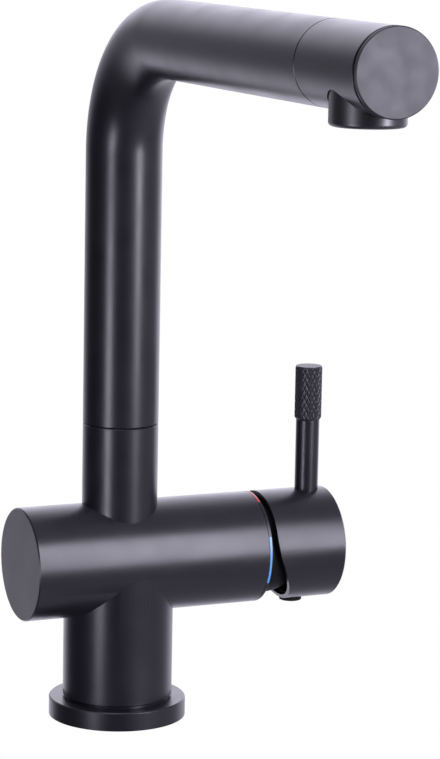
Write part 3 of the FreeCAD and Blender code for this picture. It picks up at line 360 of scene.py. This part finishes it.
def foot():
    """The flat seal and the ring that the column stands in."""
    seal_bore, ring_bore, play = 23.05 * MM, 20.6 * MM, 0.05 * MM
    outer, seat = seal_high.x, seal_high.z
    wide, bottom, top = ring_high.x, ring_low.z, ring_high.z
    seal = turned("base_seal_rubber", [
        (seal_bore, 0), (outer, 0), (outer, seat), (seal_bore, seat), (seal_bore, 0),
    ])
    seal = soften(seal, 0.1 * MM, angle=BEVEL_ANGLE)
    dress(seal, "root", "seal_rubber", "base_seal")
    ring = turned("foot_ring", [
        (ring_bore, bottom), (seal_bore - play, bottom), (seal_bore - play, seat),
        (outer + play, seat), (outer + play, bottom), (wide, bottom),
        (wide, top - EDGE_BREAK), (wide - EDGE_BREAK, top), (ring_bore, top), (ring_bore, bottom),
    ])
    ring = soften(ring, 0.12 * MM, segments=2, angle=BEVEL_ANGLE)
    dress(ring, "root", "black_coating", "base_ring")


# The ports up into the underside: across, forward or back, and radius, in millimetres.
PORTS = [(6.2, 10.843, 4.5), (6.2, -10.843, 4.5), (12.5, 0, 4.5), (-12.5, 0, 4.05), (0, 0, 6.9)]


def mixer_body():
    """The column and the barrel as one casting, bored for the cartridge, the hoses and the stud."""
    column_radius, neck, foot_radius = 23.8 * MM, 22.75 * MM, 20.55 * MM
    foot_top, neck_low = ring_high.z - 0.2 * MM, ring_high.z - 0.1 * MM
    groove_top = ring_high.z + 0.8 * MM
    column = turned("mixer_casting", [
        (foot_radius, body_low.z), (foot_radius, foot_top), (neck, neck_low), (neck, groove_top),
        (column_radius - EDGE_BREAK, groove_top), (column_radius, groove_top + EDGE_BREAK),
        (column_radius, AXIS_HEIGHT),
    ])
    left, right = body_low.x, body_high.x
    nut_seat, nut_depth, pocket, pocket_floor = 19.2 * MM, 9 * MM, 17.8 * MM, 38.8 * MM
    barrel = turned("barrel", [
        (BARREL_RADIUS - EDGE_BREAK, left), (BARREL_RADIUS, left + EDGE_BREAK),
        (BARREL_RADIUS, right - SEAM_BREAK), (BARREL_RADIUS - SEAM_BREAK, right),
        (nut_seat, right), (nut_seat, right - nut_depth), (pocket, right - nut_depth),
        (pocket, pocket_floor),
    ], "X", ON_BARREL)
    cut_away(column, barrel, "UNION")
    port_low, port_high = -5 * MM, 13 * MM
    for across, side, radius in PORTS:
        port = turned("port", [(radius * MM, port_low), (radius * MM, port_high)],
                      centre=(across * MM, side * MM, 0), sides=PORT_SIDES)
        cut_away(column, port)
    dress(soften(column), "root", "black_coating", "mixer_body")


def spout_stub():
    """The fixed stub, saddled on the barrel, up to the swivel seam."""
    bottom, top, saddle_end = stub_low.z, stub_high.z, 40 * MM
    stub = turned("stub_sleeve", [
        (TUBE_BORE, bottom), (TUBE_RADIUS, bottom), (TUBE_RADIUS, top - SEAM_BREAK),
        (TUBE_RADIUS - SEAM_BREAK, top), (TUBE_BORE, top), (TUBE_BORE, bottom),
    ])
    saddle = turned("saddle", [(BARREL_RADIUS, -saddle_end), (BARREL_RADIUS, saddle_end)],
                    "X", ON_BARREL)
    cut_away(stub, saddle)
    dress(soften(stub), "root", "black_coating", "spout_stub")


def swan_tube():
    """The spout's tube: a circle extruded up, spun over the bend and extruded out to the mouth."""
    start, bend_start, bend_steps = tube_low.z, ARM_HEIGHT - BEND_RADIUS, 40
    reach = -tube_low.y - BEND_RADIUS - SEAM_BREAK
    narrow = TUBE_RADIUS - SEAM_BREAK
    widen = TUBE_RADIUS / narrow
    bpy.ops.object.select_all(action="DESELECT")
    bpy.ops.mesh.primitive_circle_add(vertices=SIDES, radius=narrow)
    tube = bpy.context.object
    tube.name = "swan_spout"
    in_edit(tube)
    bpy.ops.transform.translate(value=(0, 0, start))
    extrude((0, 0, SEAM_BREAK))
    bpy.ops.transform.resize(value=(widen, widen, 1), center_override=(0, 0, start + SEAM_BREAK))
    extrude((0, 0, bend_start - start - SEAM_BREAK))
    bpy.ops.mesh.spin(steps=bend_steps, angle=-math.pi / 2, center=(0, -BEND_RADIUS, bend_start),
                      axis=(1, 0, 0))
    extrude((0, -reach, 0))
    extrude((0, -SEAM_BREAK, 0))
    bpy.ops.transform.resize(value=(1 / widen, 1, 1 / widen),
                             center_override=(0, tube_low.y, ARM_HEIGHT))
    out_of_edit()
    settle(tube)
    wall = tube.modifiers.new("wall", "SOLIDIFY")
    wall.thickness = TUBE_WALL - SEAM_BREAK
    wall.offset = -1
    bpy.ops.object.modifier_apply(modifier=wall.name)
    dress(soften(tube), "spout", "black_coating", "spout_tube")


# Where the inlays' middles are round the barrel, in degrees from the top forward.
INLAYS = (("hot_inlay", 0, "hot_red", "hot_mark"), ("cold_inlay", 94, "cold_blue", "cold_mark"))


def index_ring():
    """The thin ring at the barrel's open end, with its red and blue inlays."""
    left, right, bore, rim = index_low.x, index_high.x, DOME_SPHERE, 0.3 * MM
    ring = turned("index_band", [
        (bore, left), (BARREL_RADIUS, left), (BARREL_RADIUS, right - rim),
        (BARREL_RADIUS - rim, right), (bore, right), (bore, left),
    ], "X", ON_BARREL)
    for name, middle, slot, node in INLAYS:
        cut_away(ring, inlay("inlay_cut", middle, left, proud=0.1 * MM))
        dress(inlay(name, middle, left), "root", slot, node)
    dress(soften(ring), "root", "black_coating", "index_ring")


def inlay(name, middle, left, proud=0):
    """A small section spun through its angle about the barrel's axis, from the top forward."""
    width, depth, sweep, steps = 0.9 * MM, 0.6 * MM + proud, math.radians(51), 24
    place = (left + width / 2, 0, BARREL_RADIUS + proud - depth / 2)
    bpy.ops.object.select_all(action="DESELECT")
    bpy.ops.mesh.primitive_plane_add(size=1, location=place, rotation=(math.pi / 2, 0, 0))
    piece = bpy.context.object
    piece.name = name
    piece.scale = (width, depth, 1)
    bpy.ops.object.transform_apply(location=True, rotation=True, scale=True)
    in_edit(piece)
    bpy.ops.mesh.spin(steps=steps, angle=sweep, center=(0, 0, 0), axis=(1, 0, 0))
    out_of_edit()
    far_end = max(piece.data.vertices, key=lambda v: abs(v.co.y)).co
    turn = math.radians(middle) + math.copysign(sweep / 2, far_end.y)
    piece.data.transform(
        Matrix.Translation((0, 0, AXIS_HEIGHT)) @ Matrix.Rotation(turn, 4, "X"))
    in_edit(piece)
    bpy.ops.mesh.remove_doubles(threshold=WELD)
    bpy.ops.mesh.fill_holes(sides=4)
    bpy.ops.mesh.normals_make_consistent(inside=False)
    out_of_edit()
    return soften(piece)


def dome():
    """The black dome in the open end of the barrel, turned about the lever's pivot."""
    radius, pivot, steps = DOME_SPHERE, 66.8 * MM, 16
    back_bore, front_bore, lid = 15.6 * MM, 14.5 * MM, 1.2 * MM
    back, front = dome_low.x, dome_high.x
    low, high = math.asin((back - pivot) / radius), math.asin((front - pivot) / radius)
    arc = [low + (high - low) * step / steps for step in range(steps + 1)]
    piece = turned("dome_shell", [
        (back_bore, back),
        *[(radius * math.cos(angle), pivot + radius * math.sin(angle)) for angle in arc],
        (front_bore, front), (front_bore, front - lid), (back_bore, back + lid),
        (back_bore, back),
    ], "X", ON_BARREL)
    piece = soften(piece, 0.15 * MM, angle=BEVEL_ANGLE)
    dress(piece, "root", "black_plastic", "dome_cover")


def rim_cutter(edge):
    """What the cap's rim loses: a block whose front steps out below, over an S-shaped slope."""
    slope_top, slope_bottom = AXIS_HEIGHT + 2.2 * MM, AXIS_HEIGHT - 30 * MM
    step, ease, ease_steps = 14.2 * MM, 6.31 * MM, 14
    back, side, half_height = 20 * MM, 30 * MM, 50 * MM
    near = 0.1 * MM
    cutter = block("rim_cutter", (edge - back, -side, AXIS_HEIGHT - half_height),
                   (edge, side, AXIS_HEIGHT + half_height))
    in_edit(cutter)
    for height in (slope_top, slope_bottom):
        bpy.ops.mesh.select_all(action="SELECT")
        bpy.ops.mesh.bisect(plane_co=(0, 0, height), plane_no=(0, 0, 1))

    def in_front(place):
        return place.x > edge - MM

    def is_slope_end(edge_of_block):
        one, other = ends(cutter, edge_of_block)
        return abs(one.z - other.z) < near and all(
            in_front(v) and min(abs(v.z - slope_top), abs(v.z - slope_bottom)) < near
            for v in (one, other))

    pick(cutter, "VERT", lambda v: in_front(v.co) and v.co.z < slope_bottom + near)
    bpy.ops.transform.translate(value=(step, 0, 0))
    pick(cutter, "EDGE", is_slope_end)
    bpy.ops.mesh.bevel(offset=ease, segments=ease_steps, profile=0.5)
    out_of_edit()
    return cutter


def handle_cap():
    """The round cap: its rim steps back towards the underside over an S-shaped slope."""
    end, bore, boss = cap_high.x, BARREL_RADIUS - 1.6 * MM, 9.5 * MM
    floor_start, boss_start = end - 3 * MM, 79.5 * MM
    rod_hole, plug_hole, plug_seat = 5.25 * MM, 5.05 * MM, cap_low.z + 2.4 * MM
    cap = turned("lever_cap", [
        (boss, boss_start), (boss, floor_start), (bore, floor_start), (bore, cap_low.x),
        (BARREL_RADIUS, cap_low.x), (BARREL_RADIUS, end - EDGE_BREAK),
        (BARREL_RADIUS - EDGE_BREAK, end),
    ], "X", ON_BARREL)
    cut_away(cap, rim_cutter(cap_low.x))
    for name, radius, start, stop, x in (
        ("rod_hole", rod_hole, ROD_SHOULDER, AXIS_HEIGHT + CUT_REACH, ROD_X),
        ("plug_hole", plug_hole, cap_low.z - 2 * MM, plug_seat, PLUG_X),
    ):
        hole = turned(name, [(radius, start), (radius, stop)],
                      centre=(x, 0, 0), sides=SMALL_SIDES)
        cut_away(cap, hole)
    dress(soften(cap), "handle", "black_coating", "handle_cap")


def lever_rod():
    """The plain rod between the cap and the grip."""
    radius, thread = 5.2 * MM, 4 * MM
    rod = turned("lever_shank", [
        (thread, rod_low.z), (thread, ROD_SHOULDER), (radius, ROD_SHOULDER),
        (radius, grip_low.z), (thread, grip_low.z), (thread, rod_high.z),
    ], centre=(ROD_X, 0, 0), sides=SMALL_SIDES)
    rod = soften(rod, 0.1 * MM, segments=2, angle=BEVEL_ANGLE)
    dress(rod, "handle", "black_coating", "lever_rod")


def knurled_grip():
    """The lever's end: a drum whose squares become diamonds with grooves between them."""
    around, up, groove, land = 20, 6, 0.28 * MM, 0.38 * MM
    low_chamfer, high_chamfer = 0.8 * MM, 0.3 * MM
    radius = (grip_high.x - grip_low.x) / 2
    low, high = grip_low.z + low_chamfer, grip_high.z - high_chamfer
    rise = (high - low) / up
    grip = turned("knurled_lever_end", [
        (radius - low_chamfer, grip_low.z),
        *[(radius, low + rise * step) for step in range(up + 1)],
        (radius - high_chamfer, grip_high.z),
    ], centre=(ROD_X, 0, 0), sides=around)
    knurl(grip, low, high, rise, land)
    lands = {v for face in grip.data.polygons if face.select for v in face.vertices}
    shrink = 1 - groove / radius
    for vertex in grip.data.vertices:
        place = vertex.co
        if low - WELD < place.z < high + WELD and vertex.index not in lands:
            place.x, place.y = ROD_X + (place.x - ROD_X) * shrink, place.y * shrink
    dress(soften(grip, angle=KNURL_ANGLE), "handle", "black_coating", "knurled_grip")
    # The grip gets the lighter copy of the satin black: painted light over the knurl's shade.
    grip.data.materials[0] = KNURL_BLACK_PAINTED_LIGHT


def knurl(grip, low, high, rise, land):
    """Turn the grip's squares into diamonds and inset each one. The lands stay selected."""
    near, top, steepest = 0.1, (high - low) / rise, 0.3

    def is_side(face):
        return low < face.center.z < high and abs(face.normal.z) < steepest

    def is_old(edge):
        """Whether an edge lies on the squares' own lines, and not on the drum's two ends."""
        levels = [(v.z - low) / rise for v in ends(grip, edge)]
        whole = all(abs(level - round(level)) < near for level in levels)
        at_end = max(levels) < near or min(levels) > top - near
        return whole and not at_end and min(levels) > -near and max(levels) < top + near

    pick(grip, "FACE", is_side)
    bpy.ops.mesh.poke()
    pick(grip, "EDGE", is_old)
    bpy.ops.mesh.dissolve_edges(use_verts=False)
    pick(grip, "FACE", is_side)
    bpy.ops.mesh.inset(thickness=land, depth=0, use_individual=True)
    out_of_edit()


def plug():
    """The plug that covers the set screw under the cap."""
    radius = (plug_high.x - plug_low.x) / 2
    piece = turned("screw_cover", [(radius, plug_low.z), (radius, plug_high.z)],
                   centre=(PLUG_X, 0, 0), sides=SMALL_SIDES)
    piece = soften(piece, 0.5 * MM, segments=4, angle=BEVEL_ANGLE)
    dress(piece, "handle", "black_plastic", "screw_plug")


def head_shell():
    """The head's sleeve with its opening for the nozzle."""
    start, end = shell_high.y, shell_low.y
    shell = turned("spray_shell", [
        (TUBE_BORE, start), (TUBE_RADIUS - SEAM_BREAK, start), (TUBE_RADIUS, start - SEAM_BREAK),
        (TUBE_RADIUS, end + SEAM_BREAK), (TUBE_RADIUS - SEAM_BREAK, end), (TUBE_BORE, end),
        (TUBE_BORE, start),
    ], "Y", ON_ARM)
    opening = (nozzle_high.x - nozzle_low.x) / 2 + 0.5 * MM
    cutter = turned("opening", [(opening, ARM_HEIGHT - CUT_REACH), (opening, ARM_HEIGHT)],
                    centre=(0, NOZZLE_Y, 0))
    cut_away(shell, cutter)
    dress(soften(shell), "head", "black_coating", "head_shell")


def end_disc():
    """The disc that closes the head, in front of its groove."""
    end, face = shell_low.y, disc_low.y
    spigot, neck, groove = TUBE_BORE - 0.05 * MM, TUBE_RADIUS - MM, end - 1.1 * MM
    disc = turned("end_disc", [
        (spigot, disc_high.y), (spigot, end), (neck, end), (neck, groove),
        (TUBE_RADIUS - SEAM_BREAK, groove), (TUBE_RADIUS, groove - SEAM_BREAK),
        (TUBE_RADIUS, face + EDGE_BREAK), (TUBE_RADIUS - EDGE_BREAK, face),
    ], "Y", ON_ARM)
    dress(soften(disc), "head", "black_face", "head_end_cap")


def nozzle():
    """The round nozzle under the head, with a rounded lip and the socket for its water."""
    low, high = nozzle_low.z, nozzle_high.z
    radius = (nozzle_high.x - nozzle_low.x) / 2
    rounding, mouth, socket, roof = 1.6 * MM, 11.7 * MM, 5 * MM, 5 * MM
    steps = 6
    angles = [math.radians(90 * step / steps) for step in range(steps + 1)]
    lip = [(radius - rounding + rounding * math.sin(angle),
            low + rounding - rounding * math.cos(angle)) for angle in angles]
    piece = turned("spray_nozzle", [
        (mouth, low), *lip, (radius, high), (socket, high), (socket, high - roof),
        (mouth, high - roof), (mouth, low),
    ], centre=(0, NOZZLE_Y, 0))
    dress(soften(piece), "head", "black_gloss", "nozzle")


foot()
mixer_body()
spout_stub()
swan_tube()
index_ring()
dome()
handle_cap()
lever_rod()
knurled_grip()
plug()
head_shell()
end_disc()
nozzle()

# Studio: a floor and a surround that are plain white to the camera, and three soft boxes.
FLOOR_SIZE = 6.0
TONE = (0.87, 0.84, 1.0)
bpy.ops.object.select_all(action="DESELECT")
bpy.ops.mesh.primitive_plane_add(size=FLOOR_SIZE)
floor = bpy.context.object
floor.name = "floor"


def camera_sees(tree, to_camera, to_light, output):
    """Give the camera's rays one shader, and all other rays the other."""
    path = tree.nodes.new("ShaderNodeLightPath")
    mix = tree.nodes.new("ShaderNodeMixShader")
    tree.links.new(path.outputs["Is Camera Ray"], mix.inputs["Fac"])
    tree.links.new(to_light, mix.inputs[1])
    tree.links.new(to_camera, mix.inputs[2])
    tree.links.new(mix.outputs["Shader"], tree.nodes[output].inputs["Surface"])


def backdrop_card(name):
    """Plain white to the camera, and nothing at all to the light."""
    material = bpy.data.materials.new(name)
    material.use_nodes = True
    tree = material.node_tree
    tree.nodes.remove(tree.nodes["Principled BSDF"])
    clear = tree.nodes.new("ShaderNodeBsdfTransparent").outputs["BSDF"]
    glow = tree.nodes.new("ShaderNodeEmission").outputs["Emission"]
    camera_sees(tree, glow, clear, "Material Output")
    return material


floor.data.materials.append(backdrop_card("white_card"))

# The photograph's camera, in degrees and millimetres.
YAW, PITCH, ROLL = math.radians(24.1872), math.radians(9.8107), math.radians(1.0999)
EYE = Vector((-466.655, -1142.664, 362.509)) * MM
LENS, SENSOR = 138.10, 36
AHEAD = Vector((
    math.sin(YAW) * math.cos(PITCH), math.cos(YAW) * math.cos(PITCH), -math.sin(PITCH)))


def studio_world():
    """Dim in front, more so on the left. Bright behind and above, with a glow low behind."""
    world = bpy.data.worlds.new("studio")
    bpy.context.scene.world = world
    world.use_nodes = True
    tree = world.node_tree
    way = tree.nodes.new("ShaderNodeTexCoord").outputs["Generated"]

    def along(direction, start, end, low, high):
        """Go from low to high as the way's part along a direction goes from start to end."""
        dot = tree.nodes.new("ShaderNodeVectorMath")
        dot.operation = "DOT_PRODUCT"
        dot.inputs[1].default_value = direction
        tree.links.new(way, dot.inputs[0])
        return fitted(tree, dot.outputs["Value"], start, end, low, high, smooth=True)

    def plus(first, second):
        both = tree.nodes.new("ShaderNodeMath")
        both.operation = "ADD"
        tree.links.new(first, both.inputs[0])
        tree.links.new(second, both.inputs[1])
        return both.outputs["Value"]

    how_far_behind = along((AHEAD.x, AHEAD.y, 0), 0.38, 0.95, 0, 1)
    in_front = along((1, 0, 0), -0.3, 0.5, 0.06, 0.5)
    behind = along((0.45, 0, 0.9), -0.05, 0.33, 0.95, 2.7)
    low_behind = along((0, 0.8, -0.6), 0.82, 0.97, 0, 1.0)
    below = along((0, 0, -1), 0.3, 0.8, 0, 0.12)
    blend = tree.nodes.new("ShaderNodeMix")
    for socket, source in (("Factor", how_far_behind), ("A", in_front), ("B", behind)):
        tree.links.new(source, blend.inputs[socket])
    surround = tree.nodes["Background"]
    surround.inputs["Color"].default_value = (*TONE, 1)
    strength = plus(plus(blend.outputs["Result"], low_behind), below)
    tree.links.new(strength, surround.inputs["Strength"])
    backdrop = tree.nodes.new("ShaderNodeBackground")
    backdrop.inputs["Color"].default_value = (1, 1, 1, 1)
    camera_sees(tree, backdrop.outputs["Background"], surround.outputs["Background"],
                "World Output")


studio_world()

# The tap's middle, where the soft boxes aim.
LIT_POINT = Vector((0, -0.05, 0.17))


def soft_box(name, azimuth, elevation, distance, size, power):
    """An area light aimed at the tap's middle.

    Azimuth 0 is in front, along -Y, and 90 is on the lever's side.
    """
    turn, lift = math.radians(azimuth), math.radians(elevation)
    way = Vector((
        math.sin(turn) * math.cos(lift), -math.cos(turn) * math.cos(lift), math.sin(lift)))
    lamp = bpy.data.lights.new(name, "AREA")
    lamp.shape = "RECTANGLE"
    lamp.size, lamp.size_y = size
    lamp.energy = power
    lamp.color = TONE
    holder = bpy.data.objects.new(name, lamp)
    bpy.context.scene.collection.objects.link(holder)
    holder.location = LIT_POINT + way * distance
    holder.rotation_euler = way.to_track_quat("Z", "Y").to_euler()


soft_box("left_box", azimuth=-63, elevation=-10, distance=0.9, size=(0.22, 0.36), power=3.1)
soft_box("right_box", azimuth=26, elevation=17, distance=1.1, size=(0.28, 1.05), power=15.5)
soft_box("top_box", azimuth=-75, elevation=72, distance=0.9, size=(0.8, 0.8), power=4.5)

level = Vector((math.cos(YAW), -math.sin(YAW), 0))
upright = level.cross(AHEAD)
right = level * math.cos(ROLL) + upright * math.sin(ROLL)
up = upright * math.cos(ROLL) - level * math.sin(ROLL)
turn = Matrix((right, up, -AHEAD)).transposed().to_4x4()
camera = bpy.data.objects.new("camera", bpy.data.cameras.new("camera"))
bpy.context.scene.collection.objects.link(camera)
camera.data.sensor_width = SENSOR
camera.data.lens = LENS
camera.data.clip_start = 10 * MM
camera.matrix_world = Matrix.Translation(EYE) @ turn
bpy.context.scene.camera = camera
bpy.context.scene.view_settings.view_transform = "Standard"
